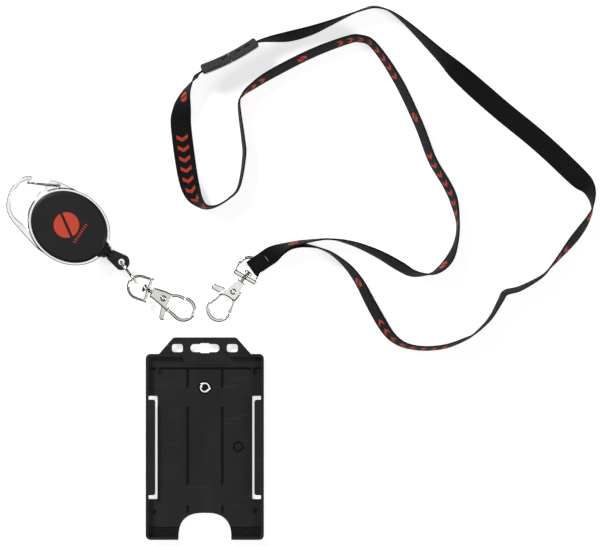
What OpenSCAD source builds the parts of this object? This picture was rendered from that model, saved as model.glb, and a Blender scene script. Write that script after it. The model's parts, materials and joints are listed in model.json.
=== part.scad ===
// Badge set laid out on a flat surface: a rigid card holder, a reel with a snap hook on its cord,
// and a neck lanyard of flat webbing with a second snap hook and a breakaway buckle.
// Millimetres, +Z up, origin under the middle of the set, surface at Z = 0.

/* [Card holder] */
// Width of the card holder
holder_w = 57.2; // [57:0.1:58]
// Height of its body, without the hanging tab
holder_h = 90; // [89:0.5:91]
// Depth of its rim
holder_t = 4.8; // [4.6:0.1:5.4]
// Thickness of its floor
floor_t = 1.4; // [1.2:0.1:1.6]
// Height of the hanging tab above the body
tab_h = 8; // [7.8:0.1:9]
// Thickness of the hanging tab
tab_t = 2.6; // [2.2:0.1:3]
// Half width of the thumb notch
notch_a = 12.8; // [12:0.1:13.2]
// Depth of the thumb notch
notch_b = 12.9; // [12:0.1:13.2]

/* [Reel] */
// Half length of the reel's oval cap
cap_a = 19.2; // [19:0.1:19.3]
// Half width of the reel's oval cap
cap_b = 16; // [15.8:0.1:16.1]
// Thickness of the reel from back to front
reel_t = 11.5; // [11.5:0.1:12.5]
// Radius of the retracting cord
cord_r = 0.45; // [0.4:0.05:0.5]
// Length of cord that can be pulled out
cord_travel = 600; // [500:10:650]

/* [Snap hooks] */
// Outer radius of the swivel loop
loop_or = 6.3; // [6.2:0.1:6.4]
// Radius of the loop's wire
loop_wire = 0.8; // [0.75:0.05:0.85]
// Outer radius of the hook's ring
hook_or = 6.15; // [6:0.05:6.2]
// Radius of the hook's opening
hook_ir = 4.55; // [4.5:0.05:4.65]
// Thickness of the hook's ring
hook_t = 2.4; // [2.4:0.1:2.6]

/* [Lanyard] */
// Width of the webbing
strap_w = 10; // [9.6:0.1:10]
// Thickness of the webbing
strap_t = 0.8; // [0.7:0.05:0.85]
// Width of the webbing where it is pinched into the swivel loop
fold_w = 8.4; // [8:0.1:8.4]
// Length of the breakaway buckle
buckle_l = 30; // [30:0.5:31]
// Thickness of the breakaway buckle
buckle_t = 4.8; // [4.6:0.1:5.2]
// Height of the breakaway buckle, across the webbing
buckle_h = 12.5; // [12:0.1:13]

/* [Hidden] */
$fn = 48;
eps = 0.05;

// Places of the pieces on the surface
holder_at = [-46.1, -129.2];
reel_at = [-111.5, 22.3];
reel_yaw = -34;
cord_y = 0;
mid_z = reel_t / 2;
link_r = 6.1;
link_wire = 0.7;
link_yaw = -54.2;
link_z = link_r + link_wire;
hook1_at = [-77.15, -6.3, 4.4];
hook1_yaw = -28.5;
hook1_pitch = 6;
hook1_block = 4.4;
hook2_at = [-24.5, 0.7, 2.36];
hook2_yaw = 231;
hook2_pitch = 1.2;
hook2_block = 3.4;
loop_cock = 10;
buckle_at = [-33.8, 104.1];
buckle_yaw = 27;
buckle_bend = 110;

// Places within a snap hook, along its length from the centre of the loop
loop_r = loop_or - loop_wire;
block_gap = 4.7;
neck_x = 6.1;
pivot_x = 12.5;
ring_x = 23.5;
neck_t = 3.4;
slot_t = 1.7;
rivet_r = 1;

black = [0.15, 0.15, 0.16];
cloth = [0.11, 0.11, 0.11];
nickel = [0.85, 0.85, 0.86];

// ---- helpers ----
function arc(c, r, a0, a1, n) = [for (i = [0:n]) let (a = a0 + (a1 - a0) * i / n)
    c + r * [cos(a), sin(a)]];
function oval(a, b, n = 72) = [for (i = [0:n - 1]) [a * cos(360 * i / n), b * sin(360 * i / n)]];
function lerp(a, b, t) = a + (b - a) * t;

module rod(a, b, r) {
    d = b - a;
    translate(a) rotate([0, acos(d[2] / norm(d)), atan2(d[1], d[0])]) cylinder(r = r, h = norm(d));
}

module round_box(w, h, r) {
    polygon(concat(arc([w / 2 - r, h / 2 - r], r, 0, 90, 6), arc([r - w / 2, h / 2 - r], r, 90, 180, 6),
        arc([r - w / 2, r - h / 2], r, 180, 270, 6), arc([w / 2 - r, r - h / 2], r, 270, 360, 6)));
}

module slab(z0, z1) { translate([0, 0, z0]) linear_extrude(z1 - z0) children(); }

// ---- card holder ----
rim = 1.4;
pocket_top = 83.4;
shelf_z = 2.4;
lip_z = 3.8;
lip_w = 4.6;
lip_y = [21.6, 67.9];
window_y = [19.6, 69.6];
window_in = 23;
eyelet_y = 73.7;
seat_z = 0.5;
step_y = 6.1;
slot_y = holder_h + 2.8;
rib_x = 8.4;
boss_at = [16.2, 44.9];

module at_holder() { translate([holder_at[0], holder_at[1], 0]) children(); }

module holder_outline(inset = 0) {
    r = 2.2 - min(inset, 1.4);
    translate([0, holder_h / 2]) round_box(holder_w - 2 * inset, holder_h - 2 * inset, r);
}

module tab_outline() {
    polygon(concat([[-23.1, holder_h - 1]], arc([-14.4, holder_h + tab_h - 2], 2, 130, 90, 4),
        arc([14.4, holder_h + tab_h - 2], 2, 90, 50, 4), [[23.1, holder_h - 1]]));
}

module notch_outline() {
    n = 40;
    polygon([for (i = [0:n]) let (c = cos(180 * i / n), s = sin(180 * i / n))
        [notch_a * sign(c) * pow(abs(c), 2 / 2.7), i == 0 || i == n ? -1 : notch_b * pow(s, 2 / 2.7)]]);
}

module card_holder() color(black) at_holder() {
    // stops for the card's top edge
    for (s = [-1, 1]) slab(floor_t - 0.6, shelf_z + 0.8) translate([s * 23, pocket_top + eps])
        polygon([[-0.7, 0], [0, -2.2], [0.7, 0]]);
    difference() {
    union() {
        slab(0, tab_t) tab_outline();
        slab(0, floor_t) holder_outline();
        // rim, open at the tab's neck
        difference() {
            slab(floor_t - eps, holder_t) difference() { holder_outline(); holder_outline(rim); }
            translate([-11.8, holder_h - 2, tab_t]) cube([23.6, 4, holder_t]);
        }
        // shelf behind the card's top edge, and the neck that carries the tab
        slab(floor_t - eps, shelf_z) translate([-holder_w / 2 + rim / 2, pocket_top])
            square([holder_w - rim, holder_h - pocket_top - rim / 2]);
        slab(floor_t, tab_t) polygon([[-11.6, holder_h], [-11, 84.6], [11, 84.6], [11.6, holder_h]]);
        // lips that hold the card's long edges
        for (s = [-1, 1]) slab(lip_z, holder_t) translate([s * (holder_w - lip_w) / 2,
            (lip_y[0] + lip_y[1]) / 2]) round_box(lip_w, lip_y[1] - lip_y[0], 1.2);
    }
    // hanging slots
    for (s = [-1, 1]) slab(-1, tab_t + 1) translate([s * 13.3, slot_y]) round_box(5.3, 3.9, 1.2);
    slab(-1, tab_t + 1) translate([0, slot_y]) {
        round_box(14, 3.9, 1.9);
        square([4.4, 4.8], center = true);
    }
    slab(-1, holder_t + 1) notch_outline();
    // windows under the lips
    for (s = [-1, 1]) slab(-1, lip_z)
        translate([s * (window_in + 27.4) / 2, (window_y[0] + window_y[1]) / 2])
            round_box(27.4 - window_in, window_y[1] - window_y[0], 0.6);
    // sunk channels in the floor
    for (s = [-1, 1], y = [[73.5, pocket_top], [26.4, 64.3], [12.8, 16.7]])
        slab(floor_t - 0.7, floor_t + 1) translate([s * rib_x, (y[0] + y[1]) / 2])
            round_box(1.4, y[1] - y[0], 0.65);
    // groove along the shelf
    slab(floor_t - 0.5, floor_t + 0.5) translate([-holder_w / 2 + rim, pocket_top - 0.75])
        square([holder_w - 2 * rim, 0.75]);
    // step at the foot of the floor
    slab(floor_t - 0.4, floor_t + 0.4) translate([-holder_w / 2 + rim, rim])
        square([holder_w - 2 * rim, step_y - rim]);
    translate([0, eyelet_y, seat_z]) cylinder(r = 1.95, h = 4);
    // ring sunk round the eyelet, and a sunk ring round a plain button
    slab(floor_t - 0.4, floor_t + 1) translate([0, eyelet_y]) difference() { circle(r = 3.2); circle(r = 2.75); }
    slab(floor_t - 0.8, floor_t + 1) translate(boss_at) difference() { circle(r = 2.75); circle(r = 1.7); }
    // shallow round marks
    for (p = [[-19.9, 3.6], [19.4, 4.4], [-24.6, 13.3], [24.6, 13.8]])
        translate([p[0], p[1], floor_t - 0.6]) cylinder(r = 1.15, h = 2);
    }
}

module holder_eyelet() color(nickel) at_holder() translate([0, eyelet_y, 0]) rotate_extrude()
    polygon([[1.4, seat_z], [1.95, seat_z], [1.95, floor_t], [2.7, floor_t], [2.7, floor_t + 0.35],
        [2.5, floor_t + 0.55], [1.65, floor_t + 0.55], [1.4, floor_t + 0.3]]);

// ---- reel: local +X points along the cord's exit ----
band_z = [1.2, 10.3];
bore_a = 17.4;
bore_b = 14.2;
hook_z = 2;
pivot_at = [-15.5, 13.5];
gate_len = 15.6;
gate_turn = -152;
gate_wire_r = 0.72;
gate_spread = 1.1;
gate_over = 0.9;
nose_half = 3.9;
spool_z = [2.8, 8.8];
spool_r = 13;
core_r = 7.2;
wound_r = 11.6;
axle_r = 1.5;

module at_reel() { translate([reel_at[0], reel_at[1], 0]) rotate([0, 0, reel_yaw]) children(); }

// Smooth curve through points, n steps between each pair
function curve(p, n) = concat([for (i = [0:len(p) - 2], j = [0:n - 1]) let (t = j / n,
    a = p[max(i - 1, 0)], b = p[i], c = p[i + 1], d = p[min(i + 2, len(p) - 1)])
    0.5 * (2 * b + t * (c - a) + t * t * (2 * a - 5 * b + 4 * c - d) + t * t * t * (3 * b - a - 3 * c + d))],
    [p[len(p) - 1]]);

// Band along a curve; each point is x, y, width
module band(p) {
    n = len(p) - 1;
    side = [for (i = [0:n]) let (d = p[min(i + 1, n)] - p[max(i - 1, 0)])
        [-d[1], d[0]] / norm([d[0], d[1]]) * p[i][2] / 2];
    polygon(concat([for (i = [0:n]) [p[i][0], p[i][1]] + side[i]],
        [for (i = [n:-1:0]) [p[i][0], p[i][1]] - side[i]]));
}

// Hook of the carabiner, from the shoulder beside the cap round to its nose; the third number is the width
hook_line = [[2, -15.7, 3.2], [-6, -15.8, 3.2], [-12.5, -14.6, 3.2], [-18.7, -13.2, 2.9],
    [-24.9, -11.9, 2.1], [-29.2, -9.2, 2.1], [-31.8, -4.8, 2.1], [-32.8, 0, 2.1], [-32.3, 4.6, 2.1],
    [-30.8, 7.4, 2.1], [-28.9, 8.9, 1.9]];
cheek = concat(curve([[-14, -13.4], [-16.8, -11.1], [-19.1, -7.8], [-20.8, -4.7], [-21.4, -0.4],
    [-21.3, 3.8], [-21, 7.4], [-20.2, 10.9], [-20.6, 12.4], [-19.6, 13.9], [-16, 15.3], [-10.9, 16.2],
    [-5.3, 16.7]], 3), [[0, 15], [0, 0], [-12, -11]]);

module reel_frame() color(nickel) at_reel() difference() {
    union() {
        slab(band_z[0], band_z[1]) polygon(oval(20.9, 17.5));
        slab(mid_z - hook_z, mid_z + hook_z) band(curve(hook_line, 4));
        slab(mid_z - hook_z + 0.02, mid_z + hook_z - 0.02) polygon(cheek);
        translate([-28.9, 8.9, mid_z - hook_z - 0.03]) cylinder(r = 1.1, h = 2 * hook_z + 0.06);
    }
    slab(0, reel_t) polygon(oval(bore_a, bore_b));
    // seats for the two covers
    slab(band_z[1] - 1.1, reel_t) polygon(oval(cap_a + 0.1, cap_b + 0.1));
    slab(0, band_z[0] + 1.1) polygon(oval(cap_a - 0.3, cap_b - 0.3));
    // gap for the cord nose
    translate([15, cord_y - nose_half, band_z[0] - 1]) cube([10, 2 * nose_half, reel_t]);
    // upright hole for the gate wire's feet
    translate([pivot_at[0], pivot_at[1], 0]) cylinder(r = gate_wire_r + 0.06, h = reel_t);
}

module front_cover() color(black) at_reel() {
    slab(band_z[1] - 1.1, band_z[1] + 0.5) polygon(oval(cap_a, cap_b));
    slab(band_z[1] + 0.5, band_z[1] + 0.85) polygon(oval(cap_a - 0.35, cap_b - 0.35));
    slab(band_z[1] + 0.85, reel_t) polygon(oval(cap_a - 0.8, cap_b - 0.8));
}

module rear_cover() color(black) at_reel() difference() {
    union() {
        slab(0, 0.5) polygon(oval(cap_a - 1, cap_b - 1));
        slab(0.5, band_z[0] + 1.1) polygon(oval(cap_a - 0.4, cap_b - 0.4));
    }
    translate([0, 0, 0.6]) cylinder(r = axle_r, h = 4);
}

module spool_axle() color(nickel) at_reel() {
    translate([0, 0, 0.6]) cylinder(r = axle_r, h = band_z[1] - 1.1 - 0.6);
}

module cord_nose() color(black) at_reel() translate([0, cord_y, mid_z]) difference() {
    union() {
        translate([17.5, -nose_half, -3.3]) cube([3.2, 2 * nose_half, 6.6]);
        translate([20.2, 0, 0]) rotate([0, 90, 0]) cylinder(r = 3.3, h = 2);
        translate([22.2, 0, 0]) rotate([0, 90, 0]) cylinder(r = 2.7, h = 0.6);
    }
    translate([15, 0, 0]) rotate([0, 90, 0]) cylinder(r = 0.75, h = 10);
}

// Plain two-part disc and a row of chevrons, printed thickly on the cap
module face_emblem() color([0.87, 0.33, 0.26]) at_reel() slab(reel_t, reel_t + 0.25) {
    translate([-1.5, 0]) difference() {
        circle(r = 6.2);
        rotate(58) square([1.3, 16], center = true);
    }
    // row of small chevrons beside the disc
    for (i = [-4:4]) translate([6.3, i * 1.25 + 0.4])
        polygon([[-0.7, -0.45], [0, 0], [0.7, -0.45], [0.7, 0.05], [0, 0.5], [-0.7, 0.05]]);
}

// Spiral spring between the axle and the spool
module power_spring() color(nickel) at_reel() slab(spool_z[0] + 0.4, spool_z[0] + 3.8) {
    turns = 4;
    n = 20 * turns;
    polygon(concat([for (i = [0:n]) let (a = 360 * turns * i / n, r = 1.55 + 0.98 * turns * i / n)
        r * [cos(a), sin(a)]],
        [for (i = [n:-1:0]) let (a = 360 * turns * i / n, r = 1.83 + 0.98 * turns * i / n)
        r * [cos(a), sin(a)]]));
}

module spool() color(black) at_reel() rotate_extrude() polygon([[axle_r + 0.05, spool_z[0] + 4.1],
    [6.3, spool_z[0] + 4.1], [6.3, spool_z[0]], [spool_r, spool_z[0]], [spool_r, spool_z[0] + 0.8],
    [core_r, spool_z[0] + 0.8], [core_r, spool_z[1] - 0.8], [spool_r, spool_z[1] - 0.8],
    [spool_r, spool_z[1]], [axle_r + 0.05, spool_z[1]]]);

module cord_winding() color(black) at_reel() translate([0, 0, mid_z]) rotate_extrude() difference() {
    translate([core_r, -2.1]) square([wound_r - core_r, 4.2]);
    for (z = [-1.8:0.9:1.8]) translate([wound_r + 0.15, z]) rotate(45) square(0.5, center = true);
}

// Straight run of cord inside the case, from the winding to the nose
module cord_run() color(black) at_reel() {
    a = acos((wound_r + 0.6) / 17.4);
    rod([(wound_r + 0.6) * cos(a), (wound_r + 0.6) * sin(a), mid_z],
        [17.35, cord_y, mid_z], cord_r);
}

// Wire gate: two legs that pass over and under the frame, joined at the tip, with feet in the frame's hole
module gate_wire() color(nickel) at_reel() translate([pivot_at[0], pivot_at[1], mid_z])
    rotate([0, 0, gate_turn]) {
    high = hook_z + gate_over;
    line = [[0, 0, 1.25], [0, 0, high], [gate_len - 5, 0, high], [gate_len - 2.4, 0, gate_spread],
        [gate_len - 0.8, 0, gate_spread]];
    for (s = [-1, 1], i = [0:3]) {
        a = [line[i][0], 0, s * line[i][2]];
        b = [line[i + 1][0], 0, s * line[i + 1][2]];
        rod(a, b, gate_wire_r);
        translate(b) sphere(r = gate_wire_r + 0.05);
    }
    rod([gate_len - 0.8, 0, -gate_spread], [gate_len - 0.8, 0, gate_spread], gate_wire_r);
}

// ---- cord end: local +X from the nose to the link ring ----
connector_l = 11.4;
eye_x = 7.4;
connector_from = 22.9;
eye_r = 1.5;

module at_connector() { at_reel() translate([connector_from, cord_y, mid_z]) children(); }

module cord_connector() color(black) at_connector() difference() {
    union() {
        slab(-1.7, 1.7) polygon(concat([[0.6, 2.6], [0.6, -2.6]],
            arc([eye_x, 0], connector_l - eye_x, -80, 80, 16)));
        rotate([0, 90, 0]) cylinder(r = 2.2, h = 1.8);
    }
    translate([eye_x, 0, -5]) cylinder(r = eye_r, h = 10);
    translate([-1, 0, 0]) rotate([0, 90, 0]) cylinder(r = cord_r, h = 2.8);
}

module cord_lead() color(black) at_reel()
    rod([18.2, cord_y, mid_z], [connector_from + 1.8, cord_y, mid_z], cord_r);

module at_link() {
    at_connector() translate([eye_x, 0, link_z - mid_z]) rotate([0, 0, link_yaw - reel_yaw])
        translate([link_r, 0, 0]) children();
}

module link_ring() color(nickel) at_link() rotate([90, 0, 0]) rotate_extrude()
    translate([link_r, 0]) circle(r = link_wire, $fn = 24);

// ---- snap hooks: local +X from the loop to the hook's ring ----
module at_hook(n) {
    p = n == 1 ? hook1_at : hook2_at;
    translate(p) rotate([0, n == 1 ? hook1_pitch : hook2_pitch, n == 1 ? hook1_yaw : hook2_yaw])
        children();
}

// Loop with its block at b along the hook, cocked a little on the loose stem
module swivel_loop(b) color(nickel) difference() {
    translate([b, 0, 0]) rotate([0, 0, loop_cock]) {
        translate([-block_gap, 0, 0]) rotate([0, 0, 90]) rotate_extrude(angle = 180)
            translate([loop_r, 0]) circle(r = loop_wire, $fn = 24);
        for (s = [-1, 1]) rod([-block_gap, s * loop_r, 0], [-0.3, s * loop_r, 0], loop_wire);
        slab(-1.3, 1.3) round_box(2, 2 * loop_or - 0.2, 0.9);
    }
    rotate([0, 90, 0]) cylinder(r = rivet_r + 0.08, h = 20);
}

module swivel_stem(b) color(nickel) rotate([0, 90, 0]) {
    translate([0, 0, b - 3.4]) cylinder(r1 = 1.6, r2 = 2.3, h = 0.6);
    translate([0, 0, b - 2.8]) cylinder(r = 2.3, h = 1);
    translate([0, 0, b - 1.8]) cylinder(r = rivet_r, h = 8.4 - b + 1.8);
}

function hook_shape() = concat([[neck_x, 2.5], [neck_x, -2.5], [8.6, -2.7]],
    arc([ring_x, 0], hook_or, -118, 104, 36), arc([ring_x, 0], hook_ir, 104, -120, 30),
    [[17.4, -3.4], [16.5, -2.2], [16, 0], [16, 2.6], [15.4, 3.8], [12, 3.7]]);

module hook_body() color(nickel) difference() {
    union() {
        slab(-hook_t / 2, hook_t / 2) polygon(hook_shape());
        slab(-neck_t / 2, neck_t / 2) polygon([[neck_x, 2.3], [neck_x, -2.3], [8.6, -2.6], [17.8, -4.7],
            [17.2, -3.4], [16.4, -2.2], [15.9, 0], [15.9, 2.5], [15.3, 3.6], [12, 3.5]]);
    }
    // slot that the trigger swings in
    slab(-slot_t / 2, slot_t / 2)
        polygon([[9.6, 6], [9.6, -8], [19, -8], [18.2, -4.6], [16.2, -1], [18, 6]]);
    translate([pivot_x, 0, -5]) cylinder(r = rivet_r, h = 10);
    rotate([0, 90, 0]) translate([0, 0, 5]) cylinder(r = rivet_r, h = 3.4);
}

module hook_rivet() color(nickel) translate([pivot_x, 0, 0]) {
    translate([0, 0, -neck_t / 2]) cylinder(r = rivet_r, h = neck_t);
    for (s = [0, 1]) mirror([0, 0, s]) translate([0, 0, neck_t / 2]) cylinder(r = 1.45, h = 0.3);
}

module trigger() color(nickel) difference() {
    slab(-0.75, 0.75) polygon(concat([[12.4, -2.2], [13.6, -4.4], [14.9, -8.4]],
        arc([16.4, -8.3], 1.5, -165, -15, 8), [[17, -4.6], [14.9, -1.2], [15.1, 1.4], [17.2, 3.3]],
        [[18.6, 3.75], [21.95, 4.1], [21.65, 5.6], [18.4, 5.3], [15.6, 4.1]],
        arc([pivot_x, 0], 2.3, 70, 250, 14)));
    translate([pivot_x, 0, -3]) cylinder(r = rivet_r + 0.06, h = 6);
    // pocket for the spring
    translate([pivot_x, 0, 0.1]) cylinder(r = 1.95, h = 2);
}

module trigger_spring() color(nickel) translate([pivot_x, 0, 0.48]) rotate_extrude()
    translate([1.5, 0]) circle(r = 0.24, $fn = 16);

module reel_swivel_loop() { at_hook(1) swivel_loop(hook1_block); }
module reel_swivel_stem() { at_hook(1) swivel_stem(hook1_block); }
module reel_hook_body() { at_hook(1) hook_body(); }
module reel_hook_rivet() { at_hook(1) hook_rivet(); }
module reel_trigger() { at_hook(1) trigger(); }
module reel_trigger_spring() { at_hook(1) trigger_spring(); }
module lanyard_swivel_loop() { at_hook(2) swivel_loop(hook2_block); }
module lanyard_swivel_stem() { at_hook(2) swivel_stem(hook2_block); }
module lanyard_hook_body() { at_hook(2) hook_body(); }
module lanyard_hook_rivet() { at_hook(2) hook_rivet(); }
module lanyard_trigger() { at_hook(2) trigger(); }
module lanyard_trigger_spring() { at_hook(2) trigger_spring(); }

// ---- webbing ----
// The fold's own frame: its origin is the middle of the loop's arc, and +X runs away from the hook
fold_at = [-24.1, 1.6];
fold_yaw = 35;
fold_from = 0.4;
fold_or = 2.1;
fold_pocket = 7.3;
fold_end = 9.3;

// Fold round the swivel loop: two layers joined by a bend, seen from the side
module strap_fold() color(cloth) translate([fold_at[0], fold_at[1], 0.05]) rotate([0, 0, fold_yaw])
    rotate([90, 0, 0]) translate([0, 0, -fold_w / 2]) linear_extrude(fold_w) {
    c = [fold_from + fold_or, fold_or];
    top = 2 * fold_or;
    polygon(concat(arc(c, fold_or, 90, 270, 12), [[fold_end, 0], [fold_end, strap_t]],
        arc(c, fold_or - strap_t, 270, 90, 12), [[fold_pocket, top - strap_t],
        [fold_end - 0.5, strap_t + 0.05], [fold_end, strap_t + 0.05], [fold_end, 2 * strap_t + 0.05],
        [fold_end - 0.3, 2 * strap_t + 0.05], [fold_pocket + 0.5, top]]));
}

// Route of each strand: x, y, roll about its own line (0 flat, 90 on edge), lift off the surface
inner_route = [
    [-16.2, 7.1, -10, 0.84], [-14, 8.8, -18, 0.77], [-9.85, 11.5, -52, 0.47], [-4.97, 13.55, -73, 0.26],
    [-0.1, 14.7, -78, 0.18], [3.9, 15.4, -83, 0.1], [7.3, 15.9, -86, 0], [12.1, 16.4, -89, 0],
    [17, 16.2, -91, 0], [21.8, 15.3, -97, 0], [29.1, 13.1, -104, 0], [38.8, 8.8, -112, 0],
    [48.5, 3.2, -117, 0], [55, -0.2, -108, 0], [63, -0.5, -88, 0], [68, 2, -74, 0], [72.5, 7, -70, 0],
    [75.5, 14.5, -80, 0], [76.5, 23.5, -84, 0], [74.5, 35, -70, 0], [71, 43, -68, 0], [64, 55, -68, 0],
    [57.5, 72, -68, 0], [47.5, 93, -68, 0], [36, 110, -72, 0], [29, 113.5, -72, 0], [22, 112.5, -70, 0],
    [5, 106, -68, 0], [-14.5, 96, -68, 0], [-23.5, 90, -76, 0], [-27.5, 86.5, -86, 0],
    [-29.5, 81.5, -95, 0], [-27.5, 65, -99, 0], [-27, 56.5, -99, 0], [-29.5, 42, -96, 0],
    [-34.5, 36, -92, 0], [-42, 32, -86, 0], [-48, 33.5, -66, 0], [-53.5, 43, -22, 0], [-57.5, 69, 0, 0],
    [-57.3, 78.5, -25, 0], [-55.2, 87, -64, 0.3], [-51.7, 93.3, -90, 0.8], [-50.1, 95.2, -97, 0.9],
    [-48.5, 96.8, -90, 1], [-45, 99.2, -90, 1]];
outer_route = [
    [-16.15, 7.05, 170, 0], [-13.8, 8.45, 162, 0], [-9.55, 10.85, 128, 0], [-4.73, 12.65, 107, 0],
    [0.1, 13.5, 102, 0], [3.9, 13.2, 97, 0], [6.8, 12.7, 93, 0], [9.9, 11.9, 90, 0], [14.55, 9.9, 85, 0],
    [19.4, 6.5, 79, 0], [24.25, 1.9, 72, 0], [29.1, -4.85, 66, 0], [33.95, -14.1, 62, 0],
    [38.8, -22.8, 61, 0], [42.5, -28.6, 64, 0], [46.5, -32.6, 70, 0], [52, -35.3, 76, 0],
    [60.5, -36.5, 78, 0], [70.5, -35.5, 79, 0], [80, -32, 83, 0], [85, -29, 90, 0], [92, -22, 96, 0],
    [97, -13.5, 102, 0], [99.5, -9.5, 104, 0], [106.5, -7.5, 102, 0], [116.5, -2, 94, 0], [121.5, 3, 86, 0],
    [131, 14.5, 68, 0], [136, 21, 68, 0], [139.5, 26.5, 76, 0], [141.5, 32, 90, 0], [140, 40.5, 125, 0],
    [133.5, 47.5, 165, 0], [116.5, 63.5, 180, 0], [97, 79.5, 180, 0], [77.5, 96.5, 150, 0],
    [68, 105.5, 122, 0], [48.5, 123.5, 96, 0], [38, 128.6, 84, 0], [29, 127, 86, 0], [14.5, 121, 102, 0],
    [5, 117.3, 113, 0], [-5, 114.6, 116, 0], [-13.8, 113.3, 104, 0.3], [-20.2, 112, 92, 1],
    [-23.6, 110.1, 90, 1]];
// Ring of the outer route from which the webbing bends as the buckle comes apart
end_from = 38;

// Height of the webbing's middle so that its lower edge stays on the surface
function mid_height(roll, w) = strap_t / 2 * abs(cos(roll)) + w / 2 * abs(sin(roll)) + 0.05;
function flat_dir(r, i) = let (a = r[max(i - 1, 0)], b = r[min(i + 1, len(r) - 1)],
    d = [b[0] - a[0], b[1] - a[1]]) d / norm(d);
function ring_pts(p, d, w) = let (roll = p[2],
    side = [-d[1] * cos(roll), d[0] * cos(roll), sin(roll)],
    up = [d[1] * sin(roll), -d[0] * sin(roll), cos(roll)],
    c = [p[0], p[1], mid_height(roll, w) + p[3]])
    [for (k = [[-1, -1], [1, -1], [1, 1], [-1, 1]]) c + side * k[0] * w / 2 + up * k[1] * strap_t / 2];

// Sweeps the webbing's flat section along part of a route; the first three rings are as narrow as the fold
module sweep_strap(route, first, last) {
    n = last - first + 1;
    pts = [for (i = [first:last]) each ring_pts(route[i], flat_dir(route, i), i < 3 ? fold_w : strap_w)];
    faces = concat([[0, 1, 2, 3]], [[4 * n - 1, 4 * n - 2, 4 * n - 3, 4 * n - 4]],
        [for (i = [0:n - 2], k = [0:3]) let (a = 4 * i + k, b = 4 * i + (k + 1) % 4)
            each [[a, a + 4, b], [b, a + 4, b + 4]]]);
    polyhedron(pts, faces);
}

module strap_inner() color(cloth) sweep_strap(inner_route, 0, len(inner_route) - 1);
module strap_outer() color(cloth) sweep_strap(outer_route, 0, end_from);
module strap_end() color(cloth) sweep_strap(outer_route, end_from, len(outer_route) - 1);

// Row of raised stitches that joins the two strands beside the loop, midway between the first two rings
module strap_stitching() color(cloth) {
    a = inner_route[0];
    b = inner_route[1];
    p = (a + b) / 2;
    z = (mid_height(a[2], fold_w) + mid_height(b[2], fold_w)) / 2 + p[3];
    translate([p[0], p[1], z]) rotate([p[2], 0, atan2(b[1] - a[1], b[0] - a[0])])
        for (i = [-3:3]) translate([0, i * 1.1, strap_t / 2 + 0.04]) rotate([90, 0, 60])
            rotate([0, 90, 0]) linear_extrude(1.4, center = true) polygon(arc([0, 0], 0.25, 0, 180, 6));
}

// ---- breakaway buckle: a shallow arc standing on its edge ----
bar_end = 4.5;
tongue_t = 1.6;
tongue_h = 7;
tongue_l = 8;

module at_buckle() { translate([buckle_at[0], buckle_at[1], 0]) rotate([0, 0, buckle_yaw]) children(); }

// Plan of the curved band between two places along its length
module buckle_plan(x0, x1, t = buckle_t) {
    c = [0, buckle_bend];
    a0 = -90 + x0 / buckle_bend * 57.3;
    a1 = -90 + x1 / buckle_bend * 57.3;
    polygon(concat(arc(c, buckle_bend + t / 2, a0, a1, 10), arc(c, buckle_bend - t / 2, a1, a0, 10)));
}

// The same with the corners rounded at its outer end, which is at x0
module buckle_end(x0, x1, t = buckle_t) {
    intersection() {
        offset(r = 1.1) offset(delta = -1.1) buckle_plan(x0, x1 + 3, t);
        buckle_plan(x0 - 1, x1, t + 1);
    }
}

module buckle_half(x0, x1) {
    slab(0, 0.7) buckle_end(x0 + 0.3, x1, buckle_t - 0.9);
    slab(0.7, buckle_h - 0.7) buckle_end(x0, x1);
    slab(buckle_h - 0.7, buckle_h) buckle_end(x0 + 0.3, x1, buckle_t - 0.9);
}

module buckle_socket() color(black) at_buckle() difference() {
    union() {
        buckle_half(-buckle_l / 2, 0);
        // slim ridge along the top edge
        translate([-8.9, -0.45, buckle_h - 0.3]) rotate([0, 0, -4.6]) slab(0, 0.6) round_box(7.4, 0.6, 0.25);
    }
    // mouth for the plug's tongue
    translate([-tongue_l - 0.6, -tongue_t / 2 - 0.2, (buckle_h - tongue_h) / 2 - 0.2])
        cube([tongue_l + 2, tongue_t + 0.4, tongue_h + 0.4]);
    // slot that takes the webbing's end
    translate([-buckle_l / 2 - 2, -0.3, 0.95]) cube([bar_end + 2, 2, buckle_h - 1.9]);
    // small release hole in the top edge
    translate([-3.8, 0.5, buckle_h - 1.9]) cube([2.4, 0.9, 3]);
}

module buckle_plug() color(black) at_buckle() difference() {
    union() {
        mirror([1, 0, 0]) buckle_half(-buckle_l / 2, -0.15);
        translate([-tongue_l, -tongue_t / 2, (buckle_h - tongue_h) / 2])
            cube([tongue_l + 1, tongue_t, tongue_h]);
    }
    translate([buckle_l / 2 - bar_end, -0.3, 0.95]) cube([bar_end + 2, 2, buckle_h - 1.9]);
    // slim marks in the top edge
    for (x = [3.6, 8.4]) translate([x, 0.3 + x * 0.05, buckle_h - 1.8]) cube([2.5, 0.9, 3]);
    translate([-tongue_l + 2, -5, buckle_h / 2 - 1.2]) cube([2.6, 10, 2.4]);
}

card_holder();
holder_eyelet();
reel_frame();
front_cover();
rear_cover();
cord_nose();
spool_axle();
face_emblem();
power_spring();
cord_run();
gate_wire();
spool();
cord_winding();
cord_connector();
cord_lead();
link_ring();
reel_swivel_loop();
reel_hook_body();
reel_swivel_stem();
reel_hook_rivet();
reel_trigger();
reel_trigger_spring();
lanyard_swivel_loop();
lanyard_hook_body();
lanyard_swivel_stem();
lanyard_hook_rivet();
lanyard_trigger();
lanyard_trigger_spring();
strap_fold();
strap_inner();
strap_outer();
strap_end();
strap_stitching();
buckle_socket();
buckle_plug();
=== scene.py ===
"""Badge holder set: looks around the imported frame. Metres, +Z up, the set lies on the floor at Z = 0."""
import json
import math

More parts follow.
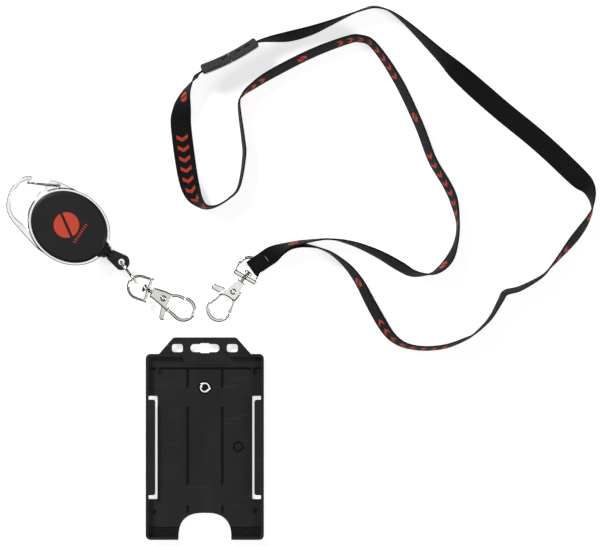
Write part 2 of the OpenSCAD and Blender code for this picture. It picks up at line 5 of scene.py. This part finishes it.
import bmesh
import bpy
import numpy as np
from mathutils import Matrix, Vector

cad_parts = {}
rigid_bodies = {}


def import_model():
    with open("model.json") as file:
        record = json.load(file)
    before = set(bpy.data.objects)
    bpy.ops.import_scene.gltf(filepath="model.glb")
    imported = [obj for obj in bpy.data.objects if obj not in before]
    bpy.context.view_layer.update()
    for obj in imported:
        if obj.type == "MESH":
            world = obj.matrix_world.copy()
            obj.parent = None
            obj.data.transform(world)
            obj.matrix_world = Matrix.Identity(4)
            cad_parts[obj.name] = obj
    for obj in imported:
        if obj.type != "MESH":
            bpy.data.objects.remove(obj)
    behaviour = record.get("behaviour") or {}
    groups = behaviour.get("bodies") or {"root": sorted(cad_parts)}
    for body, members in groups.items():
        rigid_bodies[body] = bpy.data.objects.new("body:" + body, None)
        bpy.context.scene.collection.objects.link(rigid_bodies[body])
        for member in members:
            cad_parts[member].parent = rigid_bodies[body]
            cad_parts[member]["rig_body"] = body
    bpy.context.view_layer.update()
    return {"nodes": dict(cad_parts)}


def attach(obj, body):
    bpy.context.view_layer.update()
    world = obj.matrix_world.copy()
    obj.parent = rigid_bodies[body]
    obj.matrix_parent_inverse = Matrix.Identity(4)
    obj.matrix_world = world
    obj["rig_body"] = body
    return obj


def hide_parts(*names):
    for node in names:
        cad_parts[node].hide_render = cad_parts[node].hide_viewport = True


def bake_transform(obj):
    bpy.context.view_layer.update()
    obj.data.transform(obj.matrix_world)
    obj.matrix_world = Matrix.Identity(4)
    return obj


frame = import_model()
nodes = frame["nodes"]
scene = bpy.context.scene
MM = 0.001

# ---------------------------------------------------------------- camera, floor and light
VIEW_WIDTH = 0.291
LENS = 300.0
SENSOR = 36.0
camera = bpy.data.objects.new("camera", bpy.data.cameras.new("camera"))
scene.collection.objects.link(camera)
camera.data.lens = LENS
camera.data.sensor_width = SENSOR
camera.location = (0, 0, VIEW_WIDTH * LENS / SENSOR)
camera.data.clip_start = 0.05
camera.data.clip_end = 20
scene.camera = camera
scene.view_settings.view_transform = "Standard"


def node_tree(name):
    """A new material with its principled shader; returns both and a maker of linked nodes."""
    mat = bpy.data.materials.new(name)
    mat.use_nodes = True
    tree = mat.node_tree
    shader = tree.nodes["Principled BSDF"]

    def make(kind, inputs=(), **settings):
        node = tree.nodes.new("ShaderNode" + kind)
        for key, value in settings.items():
            setattr(node, key, value)
        for key, value in dict(inputs).items():
            socket = node.inputs[key]
            if isinstance(value, bpy.types.NodeSocket):
                tree.links.new(value, socket)
            else:
                socket.default_value = value
        return node

    return mat, shader, make, tree.links.new


def math_chain(make):
    """Short names for the math nodes of one material."""
    def op(kind, a, b=0.0, c=0.0):
        return make("Math", {0: a, 1: b, 2: c}, operation=kind).outputs[0]
    return op


def ramp(make, value, stops):
    """Colour ramp through (place, grey or colour) stops."""
    node = make("ValToRGB", {0: value})
    band = node.color_ramp
    while len(band.elements) < len(stops):
        band.elements.new(0.5)
    for element, (place, colour) in zip(band.elements, stops):
        element.position = place
        element.color = (*colour, 1) if isinstance(colour, tuple) else (colour, colour, colour, 1)
    return node.outputs[0]


def noise(make, scale, detail=3.0, stretch=(1, 1, 1), coords=None, rough=0.5):
    """Noise over the object's own space, in cycles per metre."""
    place = make("Mapping", {0: coords or make("TexCoord").outputs["Object"], "Scale": stretch})
    return make("TexNoise", {"Vector": place.outputs[0], "Scale": scale, "Detail": detail,
                             "Roughness": rough}).outputs[0]


def bump(make, height, distance, strength=1.0, below=None):
    inputs = {"Height": height, "Distance": distance, "Strength": strength}
    if below is not None:
        inputs["Normal"] = below
    return make("Bump", inputs).outputs[0]


def mix(make, factor, a, b):
    node = make("Mix", {0: factor}, data_type="RGBA")
    for socket, value in ((node.inputs[6], a), (node.inputs[7], b)):
        if isinstance(value, bpy.types.NodeSocket):
            node.id_data.links.new(value, socket)
        else:
            socket.default_value = (*value, 1)
    return node.outputs[2]


def moulded(name, dark, light, rough, grain=0.000012, coat=0.0, streak=(1, 1, 1), scuff=0.5, cell=2600,
            shine=0.3, round_edge=0.0003, painted_shade_below=None):
    """Moulded plastic: faint mottling, flow marks, fine grain, scuffs, and painted shade that darkens sunk
    details below a given height.
    """
    mat, shader, make, link = node_tree(name)
    op = math_chain(make)
    cloud = noise(make, 60, 4, streak)
    fine = noise(make, cell, 3)
    scratch = noise(make, 900, 2, (0.06, 1, 1), rough=0.7)
    mark = ramp(make, scratch, [(0.62, 0.0), (0.70, 1.0)])
    base = mix(make, ramp(make, cloud, [(0.3, 0.0), (0.72, 1.0)]), dark, light)
    wear_and_painted_shade = mix(make, op("MULTIPLY", mark, scuff * 0.35), base, tuple(min(1, 2.2 * v + 0.02) for v in light))
    if painted_shade_below:
        # painted shade: below this height the colour is darkened toward black, standing in for shade in
        # sunk details
        split = make("SeparateXYZ", {0: make("TexCoord").outputs["Object"]})
        level = op("MULTIPLY", op("SUBTRACT", split.outputs[2], painted_shade_below - 0.0001), 10000.0)
        level = make("Clamp", {"Value": level, "Min": 0.12, "Max": 1.0}).outputs[0]
        wear_and_painted_shade = mix(make, level, (0, 0, 0), wear_and_painted_shade)
    link(wear_and_painted_shade, shader.inputs["Base Color"])
    shade = op("MULTIPLY_ADD", cloud, 0.16, rough - 0.08)
    link(op("MULTIPLY_ADD", mark, 0.12 * scuff, shade), shader.inputs["Roughness"])
    relief = bump(make, fine, grain, 1.0, make("Bevel", {"Radius": round_edge}, samples=6).outputs[0])
    link(bump(make, cloud, 0.00004, 0.6, relief), shader.inputs["Normal"])
    shader.inputs["Coat Weight"].default_value = coat
    shader.inputs["Coat Roughness"].default_value = 0.25
    shader.inputs["Specular IOR Level"].default_value = shine
    return mat


def plated(name, tint, rough, wave=0.00003, brushed=(1, 1, 1), round_edge=0.0):
    """Bright plating: soft edges, slow ripples, fine polishing lines and a few dull spots."""
    mat, shader, make, link = node_tree(name)
    op = math_chain(make)
    slow = noise(make, 220, 2)
    lines = noise(make, 2600, 3, brushed)
    dull = ramp(make, noise(make, 500, 4), [(0.55, 0.0), (0.75, 1.0)])
    grey = tuple(v * 0.82 for v in tint)
    link(mix(make, op("MULTIPLY", dull, 0.5), tint, grey), shader.inputs["Base Color"])
    link(op("MULTIPLY_ADD", dull, 0.1, op("MULTIPLY_ADD", lines, 0.08, rough)), shader.inputs["Roughness"])
    soft = make("Bevel", {"Radius": round_edge}, samples=8).outputs[0] if round_edge else None
    link(bump(make, lines, 0.000002, 0.6, bump(make, slow, wave, 1.0, soft)), shader.inputs["Normal"])
    shader.inputs["Metallic"].default_value = 1.0
    return mat


PRINT = (0.74, 0.085, 0.045)


def printed_ink(name):
    mat, shader, make, link = node_tree(name)
    cloud = noise(make, 700, 4)
    link(mix(make, cloud, tuple(v * 0.86 for v in PRINT), tuple(min(1, v * 1.1) for v in PRINT)),
         shader.inputs["Base Color"])
    link(ramp(make, cloud, [(0.2, 0.42), (0.8, 0.6)]), shader.inputs["Roughness"])
    link(bump(make, noise(make, 3000, 2), 0.000008), shader.inputs["Normal"])
    shader.inputs["Specular IOR Level"].default_value = 0.2
    return mat


# The print repeats along the webbing: a plain slotted disc, then a row of plain chevrons (mm)
REPEAT = 78.0
DISC_R, SLOT_HALF = 2.5, 0.36
ROW_FROM, ROW_TO, ROW_HALF = 19.0, 60.0, 2.75
CHEVRON, CHEVRON_SLANT, STROKE_SHARE = 5.1, 0.62, 0.36

# The weave: steps of its ribs and warp threads, and the plain edge band (mm)
RIB_STEP, WARP_STEP = 1.05, 0.62
SELVEDGE_FROM, SELVEDGE_STEP = 4.35, 0.7


def webbing(name, first_disc, printed=True):
    """Ribbed polyester weave from the run attribute: mm along, mm across, and side."""
    mat, shader, make, link = node_tree(name)
    op = math_chain(make)
    run = make("SeparateXYZ", {0: make("Attribute", attribute_name="run").outputs["Vector"]})
    along, across, side = run.outputs
    tau = 2 * math.pi
    column = op("FLOOR", op("DIVIDE", across, WARP_STEP))
    shift = op("MULTIPLY", op("MODULO", op("ADD", column, 40.0), 2.0), math.pi * 0.9)
    rib = op("SINE", op("MULTIPLY_ADD", along, tau / RIB_STEP, shift))
    warp = op("SINE", op("MULTIPLY", across, tau / WARP_STEP))
    height = op("ADD", op("MULTIPLY", rib, 0.62), op("MULTIPLY", warp, 0.38))
    edge = op("GREATER_THAN", op("ABSOLUTE", across), SELVEDGE_FROM)
    selvedge = op("SINE", op("MULTIPLY", along, tau / SELVEDGE_STEP))
    height = op("ADD", op("MULTIPLY", height, op("SUBTRACT", 1.0, edge)), op("MULTIPLY", selvedge, edge))
    fuzz = noise(make, 4200, 4)
    wave = noise(make, 90, 2)
    level = op("MULTIPLY_ADD", height, 0.5, 0.5)
    dark, light = (0.0035, 0.0035, 0.0038), (0.0160, 0.0160, 0.0165)
    thread = mix(make, op("MULTIPLY", level, op("MULTIPLY_ADD", fuzz, 0.8, 0.4)), dark, light)
    cloth = mix(make, op("MULTIPLY", wave, 0.4), thread, (0.0125, 0.0125, 0.0135))
    if printed:
        place = op("MODULO", op("ADD", along, 4 * REPEAT - first_disc + REPEAT / 2), REPEAT)
        near = op("SUBTRACT", place, REPEAT / 2)
        radius = op("SQRT", op("ADD", op("MULTIPLY", near, near), op("MULTIPLY", across, across)))
        slot = op("ABSOLUTE", op("ADD", op("MULTIPLY", near, 0.82), op("MULTIPLY", across, 0.57)))
        disc = op("MULTIPLY", op("LESS_THAN", radius, DISC_R), op("GREATER_THAN", slot, SLOT_HALF))
        place2 = op("MODULO", op("ADD", along, 4 * REPEAT - first_disc), REPEAT)
        inside = op("MULTIPLY", op("GREATER_THAN", place2, ROW_FROM), op("LESS_THAN", place2, ROW_TO))
        inside = op("MULTIPLY", inside, op("LESS_THAN", op("ABSOLUTE", across), ROW_HALF))
        point = op("SUBTRACT", place2, op("MULTIPLY", op("ABSOLUTE", across), CHEVRON_SLANT))
        stroke = op("LESS_THAN", op("MODULO", op("ADD", point, CHEVRON), CHEVRON), CHEVRON * STROKE_SHARE)
        mark = op("MAXIMUM", disc, op("MULTIPLY", inside, stroke))
        mark = op("MULTIPLY", mark, op("GREATER_THAN", side, 0.5))
        wear = ramp(make, op("MULTIPLY_ADD", height, 0.16, fuzz), [(0.22, 0.25), (0.42, 1.0)])
        ink = mix(make, level, tuple(v * 0.62 for v in PRINT), PRINT)
        cloth = mix(make, op("MULTIPLY", mark, wear), cloth, ink)
    link(cloth, shader.inputs["Base Color"])
    link(ramp(make, fuzz, [(0.2, 0.62), (0.8, 0.86)]), shader.inputs["Roughness"])
    link(bump(make, fuzz, 0.00003, 0.5, bump(make, height, 0.00011)), shader.inputs["Normal"])
    shader.inputs["Sheen Weight"].default_value = 0.03
    shader.inputs["Sheen Roughness"].default_value = 0.4
    shader.inputs["Specular IOR Level"].default_value = 0.1
    return mat


def braided(name):
    """Braided cord from the run attribute: mm along, turns round."""
    mat, shader, make, link = node_tree(name)
    op = math_chain(make)
    run = make("SeparateXYZ", {0: make("Attribute", attribute_name="run").outputs["Vector"]})
    along, turn, _ = run.outputs
    lay = op("MULTIPLY", along, 6.0)
    twist = op("MULTIPLY", turn, 2 * math.pi * 4)
    left, right = op("SINE", op("ADD", lay, twist)), op("SINE", op("SUBTRACT", lay, twist))
    height = op("MAXIMUM", left, right)
    link(mix(make, op("MULTIPLY_ADD", height, 0.5, 0.5), (0.008, 0.008, 0.009), (0.04, 0.04, 0.042)),
         shader.inputs["Base Color"])
    link(ramp(make, noise(make, 5000, 3), [(0.2, 0.6), (0.8, 0.85)]), shader.inputs["Roughness"])
    link(bump(make, height, 0.00005), shader.inputs["Normal"])
    return mat


# the holder's colour carries painted shade in its sunk details, below 1.3 mm
holder_mat = moulded("holder_plastic", (0.0112, 0.0112, 0.0125), (0.0218, 0.0213, 0.0240), 0.46,
                     streak=(1, 0.35, 1), scuff=0.6, painted_shade_below=0.0013)
cover_mat = moulded("cover_plastic", (0.013, 0.013, 0.0132), (0.018, 0.018, 0.0186), 0.42, 0.000016, 0.0,
                    scuff=0.25, cell=3400)
spool_mat = moulded("spool_plastic", (0.03, 0.03, 0.032), (0.05, 0.05, 0.053), 0.55)
buckle_mat = moulded("buckle_plastic", (0.017, 0.017, 0.021), (0.036, 0.035, 0.046), 0.32, 0.000007, 0.05,
                     scuff=0.4, shine=0.6)
frame_mat = plated("chrome_frame", (0.82, 0.82, 0.83), 0.05, 0.00001, round_edge=0.0007)
nickel_mat = plated("nickel", (0.74, 0.73, 0.70), 0.05, 0.00001, round_edge=0.0010)
eyelet_mat = plated("eyelet_nickel", (0.85, 0.84, 0.82), 0.06, 0.00001, round_edge=0.0003)
steel_mat = plated("spring_steel", (0.56, 0.56, 0.58), 0.25)
ink_mat = printed_ink("print")
cord_mat = braided("cord")
inner_mat = webbing("webbing_inner", 15.0)
outer_mat = webbing("webbing_outer", 53.0)
fold_mat = webbing("webbing_fold", 0.0, printed=False)


FLOOR_GLOW = 0.72
FLOOR_HALF, FLOOR_Z = 8.0, -0.0002


def floor_material():
    """White paper that gives a little light of its own."""
    mat, shader, make, link = node_tree("floor_paper")
    cloud = noise(make, 6, 4)
    link(mix(make, cloud, (0.80, 0.80, 0.80), (0.84, 0.84, 0.84)), shader.inputs["Base Color"])
    shader.inputs["Emission Color"].default_value = (1, 1, 1, 1)
    shader.inputs["Emission Strength"].default_value = FLOOR_GLOW
    link(bump(make, noise(make, 1800, 3), 0.00002, 0.4), shader.inputs["Normal"])
    shader.inputs["Roughness"].default_value = 0.9
    return mat


def add_floor():
    mesh = bpy.data.meshes.new("floor")
    half, low = FLOOR_HALF, FLOOR_Z
    mesh.from_pydata([(-half, -half, low), (half, -half, low), (half, half, low), (-half, half, low)],
                     [], [(0, 1, 2, 3)])
    mesh.materials.append(floor_material())
    floor = bpy.data.objects.new("floor", mesh)
    scene.collection.objects.link(floor)


def add_light(name, place, aim, size, power):
    data = bpy.data.lights.new(name, "AREA")
    data.shape = "RECTANGLE"
    data.size, data.size_y = size
    data.energy = power
    lamp = bpy.data.objects.new(name, data)
    lamp.location = place
    lamp.rotation_mode = "QUATERNION"
    lamp.rotation_quaternion = (Vector(aim) - Vector(place)).to_track_quat("-Z", "Y")
    scene.collection.objects.link(lamp)


# The world's brightness by height of view: 0 level, 1 straight up
SKY_STOPS = [(0.0, 0.01), (0.70, 0.01), (0.955, 0.02), (0.985, 0.97), (1.0, 1.03)]
SKY_STRENGTH = 1.05


def add_world():
    """Bright straight overhead and dark all round, so that plated pieces get dark edges."""
    world = bpy.data.worlds.new("studio")
    scene.world = world
    world.use_nodes = True
    tree = world.node_tree
    coords = tree.nodes.new("ShaderNodeTexCoord")
    split = tree.nodes.new("ShaderNodeSeparateXYZ")
    tree.links.new(coords.outputs["Generated"], split.inputs[0])
    band = tree.nodes.new("ShaderNodeValToRGB")
    tree.links.new(split.outputs[2], band.inputs[0])
    while len(band.color_ramp.elements) < len(SKY_STOPS):
        band.color_ramp.elements.new(0.5)
    for element, (place, grey) in zip(band.color_ramp.elements, SKY_STOPS):
        element.position = place
        element.color = (grey, grey, grey, 1)
    background = tree.nodes["Background"]
    tree.links.new(band.outputs[0], background.inputs[0])
    background.inputs[1].default_value = SKY_STRENGTH


add_floor()
add_world()
add_light("key", (-1.5, 1.7, 1.8), (0, 0, 0), (0.8, 0.8), 60.0)
add_light("fill", (1.9, -0.8, 1.5), (0, 0, 0), (0.8, 0.8), 26.0)


# ---------------------------------------------------------------- meshes
def finish_mesh(name, mesh, material, smooth=35.0):
    mesh.materials.clear()
    mesh.materials.append(material)
    mesh.shade_smooth()
    mesh.set_sharp_from_angle(angle=math.radians(smooth))
    obj = bpy.data.objects.new(name, mesh)
    scene.collection.objects.link(obj)
    return obj


def refined(node, width, material, steps=2, angle=32.0, smooth=35.0):
    """The CAD node's own shape with its edges rounded."""
    mesh = nodes[node].data.copy()
    work = bmesh.new()
    work.from_mesh(mesh)
    bmesh.ops.remove_doubles(work, verts=work.verts, dist=1e-6)
    bmesh.ops.dissolve_limit(work, angle_limit=math.radians(0.6), verts=work.verts, edges=work.edges)
    for face in work.faces:
        face.smooth = True
    work.to_mesh(mesh)
    work.free()
    if mesh.has_custom_normals:
        mesh.attributes.remove(mesh.attributes["custom_normal"])
    piece = finish_mesh("shown_" + node, mesh, material, smooth)
    if width:
        bevel = piece.modifiers.new("edges", "BEVEL")
        bevel.width = width * MM
        bevel.segments = steps
        bevel.limit_method = "ANGLE"
        bevel.angle_limit = math.radians(angle)
        bevel.use_clamp_overlap = True
        normals = piece.modifiers.new("normals", "WEIGHTED_NORMAL")
        normals.keep_sharp = True
    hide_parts(node)
    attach(piece, nodes[node]["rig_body"])
    return piece


def spline(points, steps):
    """Smooth curve through rows of numbers."""
    rows = np.array(points, float)
    out = []
    last = len(rows) - 1
    for i in range(last):
        a, b, c, d = (rows[j] for j in (max(i - 1, 0), i, i + 1, min(i + 2, last)))
        for k in range(steps):
            t = k / steps
            out.append(0.5 * (2 * b + t * (c - a) + t * t * (2 * a - 5 * b + 4 * c - d)
                              + t ** 3 * (3 * b - a - 3 * c + d)))
    out.append(rows[last])
    return np.array(out)


def store_run(mesh, values):
    attribute = mesh.attributes.new("run", "FLOAT_VECTOR", "POINT")
    attribute.data.foreach_set("vector", np.array(values, np.float32).ravel())


# Webbing: full width, thickness, the narrower width in the fold, and where it starts to widen (mm)
STRAP_W, STRAP_T, FOLD_W = 10.0, 0.8, 8.4
PINCH_FROM, PINCH_TO = 8, 20.0
ACROSS = 12


def ribbon(name, centre, side, up, width, along, material):
    """Flat webbing: rounded edges, slightly crowned, with its run stored for the weave."""
    points, runs, faces = [], [], []
    spots = np.linspace(-1, 1, ACROSS + 1)
    ring = [(u, 1) for u in spots] + [(u, -1) for u in spots[::-1]]
    for c, s, n, w, a in zip(centre, side, up, width, along):
        for u, face in ring:
            thick = STRAP_T / 2 * (1 - 0.45 * abs(u) ** 10)
            crown = 0.06 * (1 - u * u)
            points.append((c + s * u * w / 2 + n * (face * thick + crown * face)) * MM)
            runs.append((a, u * w / 2 * STRAP_W / w, face))
    m = len(ring)
    rings = len(centre)
    for i in range(rings - 1):
        for k in range(m):
            a, b = i * m + k, i * m + (k + 1) % m
            faces.append((a, b, b + m, a + m))
    for start, flip in ((0, False), ((rings - 1) * m, True)):
        for k in range(ACROSS):
            quad = (start + k, start + k + 1, start + m - 2 - k, start + m - 1 - k)
            faces.append(quad if flip else quad[::-1])
    mesh = bpy.data.meshes.new(name)
    mesh.from_pydata([tuple(p) for p in points], [], faces)
    mesh.update()
    store_run(mesh, runs)
    work = bmesh.new()
    work.from_mesh(mesh)
    bmesh.ops.recalc_face_normals(work, faces=work.faces)
    work.to_mesh(mesh)
    work.free()
    return finish_mesh(name, mesh, material, 50)


def strand(name, route, material, steps=7):
    """Webbing along a route of x, y, roll and lift."""
    rows = spline(route, steps)
    flat = np.gradient(rows[:, :2], axis=0)
    flat /= np.linalg.norm(flat, axis=1)[:, None]
    gaps = np.linalg.norm(np.diff(rows[:, :2], axis=0), axis=1)
    along = np.concatenate([[0], np.cumsum(gaps)])
    t = np.clip((along - PINCH_FROM) / (PINCH_TO - PINCH_FROM), 0, 1)
    width = FOLD_W + (STRAP_W - FOLD_W) * t * t * (3 - 2 * t)
    roll = np.radians(rows[:, 2])
    cos, sin = np.cos(roll), np.sin(roll)
    height = STRAP_T / 2 * abs(cos) + width / 2 * abs(sin) + 0.05 + rows[:, 3]
    centre = np.column_stack([rows[:, 0], rows[:, 1], height])
    side = np.column_stack([-flat[:, 1] * cos, flat[:, 0] * cos, sin])
    up = np.column_stack([flat[:, 1] * sin, -flat[:, 0] * sin, cos])
    piece = ribbon(name, centre, side, up, width, along, material)
    return piece, [tuple(c * MM) for c in centre]


inner_route = [
    [-16.2, 7.1, -10, 0.84], [-14, 8.8, -18, 0.77], [-9.85, 11.5, -52, 0.47], [-4.97, 13.55, -73, 0.26],
    [-0.1, 14.7, -78, 0.18], [3.9, 15.4, -83, 0.1], [7.3, 15.9, -86, 0], [12.1, 16.4, -89, 0],
    [17, 16.2, -91, 0], [21.8, 15.3, -97, 0], [29.1, 13.1, -104, 0], [38.8, 8.8, -112, 0],
    [48.5, 3.2, -117, 0], [55, -0.2, -108, 0], [63, -0.5, -88, 0], [68, 2, -74, 0], [72.5, 7, -70, 0],
    [75.5, 14.5, -80, 0], [76.5, 23.5, -84, 0], [74.5, 35, -70, 0], [71, 43, -68, 0], [64, 55, -68, 0],
    [57.5, 72, -68, 0], [47.5, 93, -68, 0], [36, 110, -72, 0], [29, 113.5, -72, 0], [22, 112.5, -70, 0],
    [5, 106, -68, 0], [-14.5, 96, -68, 0], [-23.5, 90, -76, 0], [-27.5, 86.5, -86, 0],
    [-29.5, 81.5, -95, 0], [-27.5, 65, -99, 0], [-27, 56.5, -99, 0], [-29.5, 42, -96, 0],
    [-34.5, 36, -92, 0], [-42, 32, -86, 0], [-48, 33.5, -66, 0], [-53.5, 43, -22, 0], [-57.5, 69, 0, 0],
    [-57.3, 78.5, -25, 0], [-55.2, 87, -64, 0.3], [-51.7, 93.3, -90, 0.8], [-50.1, 95.2, -97, 0.9],
    [-48.5, 96.8, -90, 1], [-45, 99.2, -90, 1]]
outer_route = [
    [-16.15, 7.05, 170, 0], [-13.8, 8.45, 162, 0], [-9.55, 10.85, 128, 0], [-4.73, 12.65, 107, 0],
    [0.1, 13.5, 102, 0], [3.9, 13.2, 97, 0], [6.8, 12.7, 93, 0], [9.9, 11.9, 90, 0], [14.55, 9.9, 85, 0],
    [19.4, 6.5, 79, 0], [24.25, 1.9, 72, 0], [29.1, -4.85, 66, 0], [33.95, -14.1, 62, 0],
    [38.8, -22.8, 61, 0], [42.5, -28.6, 64, 0], [46.5, -32.6, 70, 0], [52, -35.3, 76, 0],
    [60.5, -36.5, 78, 0], [70.5, -35.5, 79, 0], [80, -32, 83, 0], [85, -29, 90, 0], [92, -22, 96, 0],
    [97, -13.5, 102, 0], [99.5, -9.5, 104, 0], [106.5, -7.5, 102, 0], [116.5, -2, 94, 0], [121.5, 3, 86, 0],
    [131, 14.5, 68, 0], [136, 21, 68, 0], [139.5, 26.5, 76, 0], [141.5, 32, 90, 0], [140, 40.5, 125, 0],
    [133.5, 47.5, 165, 0], [116.5, 63.5, 180, 0], [97, 79.5, 180, 0], [77.5, 96.5, 150, 0],
    [68, 105.5, 122, 0], [48.5, 123.5, 96, 0], [38, 128.6, 84, 0], [29, 127, 86, 0], [14.5, 121, 102, 0],
    [5, 117.3, 113, 0], [-5, 114.6, 116, 0], [-13.8, 113.3, 104, 0.3], [-20.2, 112, 92, 1],
    [-23.6, 110.1, 90, 1]]


def length_of(path):
    return float(sum((Vector(b) - Vector(a)).length for a, b in zip(path, path[1:])))


inner, inner_path = strand("webbing_inner", inner_route, inner_mat)
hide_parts("strap_inner")
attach(inner, "lanyard")
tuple(inner_path[0])
length_of(inner_path)

outer, outer_path = strand("webbing_outer", outer_route, outer_mat)
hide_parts("strap_outer", "strap_end")
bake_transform(outer)
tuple(outer_path[0])
length_of(outer_path)

# ---------------------------------------------------------------- fold round the swivel loop
FOLD_AT, FOLD_YAW = (-24.1, 1.6), math.radians(35)
FOLD_C, FOLD_R, FOLD_END = (2.5, 2.15), 1.7, 9.3


def add_fold():
    bend = [(FOLD_C[0] + FOLD_R * math.cos(math.radians(a)), FOLD_C[1] + FOLD_R * math.sin(math.radians(a)))
            for a in range(270, 89, -15)]
    line = [(FOLD_END, 0.45), (7.4, 0.45), (5.0, 0.45)] + bend + [(4.6, 3.85), (6.6, 3.8), (7.6, 3.1),
                                                                (8.5, 1.85), (FOLD_END, 1.33)]
    rows = spline(line, 3)
    flow = np.gradient(rows, axis=0)
    flow /= np.linalg.norm(flow, axis=1)[:, None]
    cos, sin = math.cos(FOLD_YAW), math.sin(FOLD_YAW)
    centre = np.column_stack([FOLD_AT[0] + rows[:, 0] * cos, FOLD_AT[1] + rows[:, 0] * sin, rows[:, 1]])
    up = np.column_stack([-flow[:, 1] * cos, -flow[:, 1] * sin, flow[:, 0]])
    side = np.tile([-sin, cos, 0], (len(rows), 1))
    along = np.concatenate([[0], np.cumsum(np.linalg.norm(np.diff(rows, axis=0), axis=1))])
    piece = ribbon("webbing_fold", centre, side, up, np.full(len(rows), FOLD_W), along, fold_mat)
    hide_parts("strap_fold")
    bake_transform(piece)


add_fold()

# ---------------------------------------------------------------- pull cord
REEL_AT, REEL_YAW = (-111.5, 22.3), math.radians(-34)
CORD_R, CORD_Z = 0.45, 5.75
CORD_IN, CORD_OUT = 17.5, 24.6


def reel_point(x, y, z):
    cos, sin = math.cos(REEL_YAW), math.sin(REEL_YAW)
    return Vector((REEL_AT[0] + x * cos - y * sin, REEL_AT[1] + x * sin + y * cos, z)) * MM


def add_pull_cord():
    rings, around, radius = 90, 12, CORD_R
    inside, outside, mid = CORD_IN, CORD_OUT, CORD_Z
    points, runs, faces = [], [], []
    for i in range(rings + 1):
        x = inside + (outside - inside) * i / rings
        for k in range(around):
            a = 2 * math.pi * k / around
            points.append(tuple(reel_point(x, radius * math.cos(a), mid + radius * math.sin(a))))
            runs.append((x, k / around, 0))
    for i in range(rings):
        for k in range(around):
            a, b = i * around + k, i * around + (k + 1) % around
            faces.append((a, b, b + around, a + around))
    faces.append(tuple(range(around)))
    faces.append(tuple(reversed(range(rings * around, (rings + 1) * around))))
    mesh = bpy.data.meshes.new("pull_cord")
    mesh.from_pydata(points, [], faces)
    store_run(mesh, runs)
    piece = finish_mesh("pull_cord", mesh, cord_mat, 50)
    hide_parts("cord_lead")
    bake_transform(piece)


add_pull_cord()

# ---------------------------------------------------------------- plastic and plated pieces
refined("card_holder", 0.22, holder_mat)
refined("holder_eyelet", 0.12, eyelet_mat, steps=3)
refined("reel_frame", 0.8, frame_mat, steps=4, angle=40)
refined("front_cover", 0.16, cover_mat, steps=3, angle=40)
refined("rear_cover", 0.16, cover_mat, angle=40)
refined("cord_nose", 0.4, cover_mat, steps=3)
refined("gate_wire", 0, nickel_mat, smooth=60)
refined("cord_connector", 0.5, cover_mat, steps=3)
refined("face_emblem", 0.05, ink_mat)
refined("buckle_socket", 0.25, buckle_mat, steps=3, angle=40)
refined("buckle_plug", 0.25, buckle_mat, steps=3, angle=40)
refined("link_ring", 0, nickel_mat, smooth=60)
for side in ("reel", "lanyard"):
    refined(side + "_swivel_loop", 0.3, nickel_mat, steps=3, angle=45, smooth=50)
    refined(side + "_hook_body", 0.4, nickel_mat, steps=4, angle=40)
    refined(side + "_swivel_stem", 0.25, nickel_mat, steps=3)
    refined(side + "_hook_rivet", 0.12, nickel_mat)
    refined(side + "_trigger", 0.3, nickel_mat, steps=3, angle=40)

for name, material in {"spool_axle": nickel_mat, "power_spring": steel_mat, "spool": spool_mat,
                       "cord_winding": cord_mat, "cord_run": cord_mat, "strap_stitching": fold_mat,
                       "reel_trigger_spring": steel_mat, "lanyard_trigger_spring": steel_mat}.items():
    nodes[name].data.materials.clear()
    nodes[name].data.materials.append(material)
